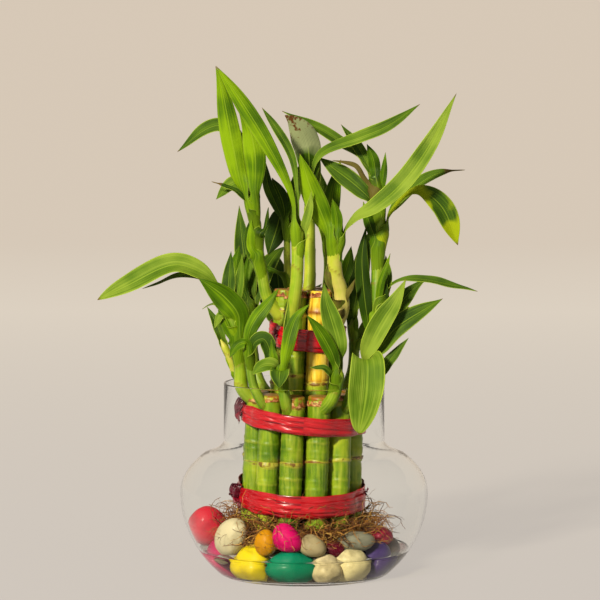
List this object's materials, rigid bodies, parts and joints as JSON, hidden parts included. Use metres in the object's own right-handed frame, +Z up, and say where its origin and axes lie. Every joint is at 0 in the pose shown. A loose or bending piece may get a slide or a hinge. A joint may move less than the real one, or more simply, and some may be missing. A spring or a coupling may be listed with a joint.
{
  "type": "lucky bamboo",
  "caption": "Two-tier lucky bamboo tied with red ribbon, standing on coloured pebbles in a round glass bowl with a little water.",
  "frame": {"origin": "centre of the bowl's flat foot, on the surface that it stands on", "axes": "+Z up the canes, -Y to the front as pictured, +X to the right"},
  "size_m": [0.1856, 0.1272, 0.25],
  "materials": {
    "clear_glass": "clear blown soda-lime glass, smooth",
    "clear_water": "clear still water, faintly yellow",
    "green_plant": "living cane and leaf, satin green with paler rings",
    "dry_cane": "dried yellow cane, satin",
    "red_ribbon": "glossy translucent gift ribbon with lengthwise streaks",
    "root_fibre": "matt fibrous root, brown to tan",
    "teal_stone": "dyed and polished pebble, wet gloss",
    "yellow_stone": "dyed and polished pebble, wet gloss",
    "magenta_stone": "dyed and polished pebble, wet gloss",
    "red_stone": "dyed and polished pebble, wet gloss",
    "purple_stone": "dyed and polished pebble, wet gloss",
    "cream_stone": "natural pale pebble, wet gloss",
    "beige_stone": "natural beige pebble, wet gloss",
    "brown_stone": "natural brown pebble, wet gloss"
  },
  "bodies": {
    "root": {"glass_bowl": "clear_glass", "water": "clear_water", "roots": "root_fibre", "ribbon_outer_upper": "red_ribbon", "ribbon_outer_lower": "red_ribbon", "ribbon_inner": "red_ribbon", "outer_cane_1": "green_plant", "outer_cane_2": "green_plant", "outer_cane_3": "green_plant", "outer_cane_4": "green_plant", "outer_cane_5": "green_plant", "outer_cane_6": "green_plant", "outer_cane_7": "green_plant", "outer_cane_8": "green_plant", "outer_cane_9": "green_plant", "outer_cane_10": "green_plant", "outer_cane_11": "green_plant", "outer_cane_12": "green_plant", "inner_cane_centre": "green_plant", "inner_cane_1": "dry_cane", "inner_cane_2": "green_plant", "inner_cane_3": "green_plant", "inner_cane_4": "green_plant", "inner_cane_5": "green_plant", "inner_cane_6": "green_plant", "pebble_teal": "teal_stone", "pebble_yellow": "yellow_stone", "pebble_magenta_left": "magenta_stone", "pebble_orange": "yellow_stone", "pebble_beige_front": "beige_stone", "pebble_cream_right": "cream_stone", "pebble_purple": "purple_stone", "pebble_amber": "brown_stone", "pebble_pink_right": "magenta_stone", "pebble_white": "cream_stone", "pebble_green": "teal_stone", "pebble_grey": "brown_stone", "pebble_blue": "purple_stone", "pebble_magenta_back": "magenta_stone", "pebble_mid_one": "beige_stone", "pebble_mid_two": "brown_stone", "pebble_mid_three": "cream_stone", "pebble_mid_four": "brown_stone", "pebble_mid_five": "beige_stone", "pebble_mid_six": "beige_stone", "pebble_mid_seven": "cream_stone", "pebble_mid_eight": "brown_stone", "pebble_cream_left": "cream_stone", "pebble_red": "red_stone", "pebble_mustard_top": "yellow_stone", "pebble_pink_top": "magenta_stone", "pebble_beige_top": "beige_stone", "pebble_maroon_top": "red_stone", "pebble_grey_top": "beige_stone", "pebble_red_top": "red_stone", "pebble_gold_top": "yellow_stone"}
  },
  "joints": []
}
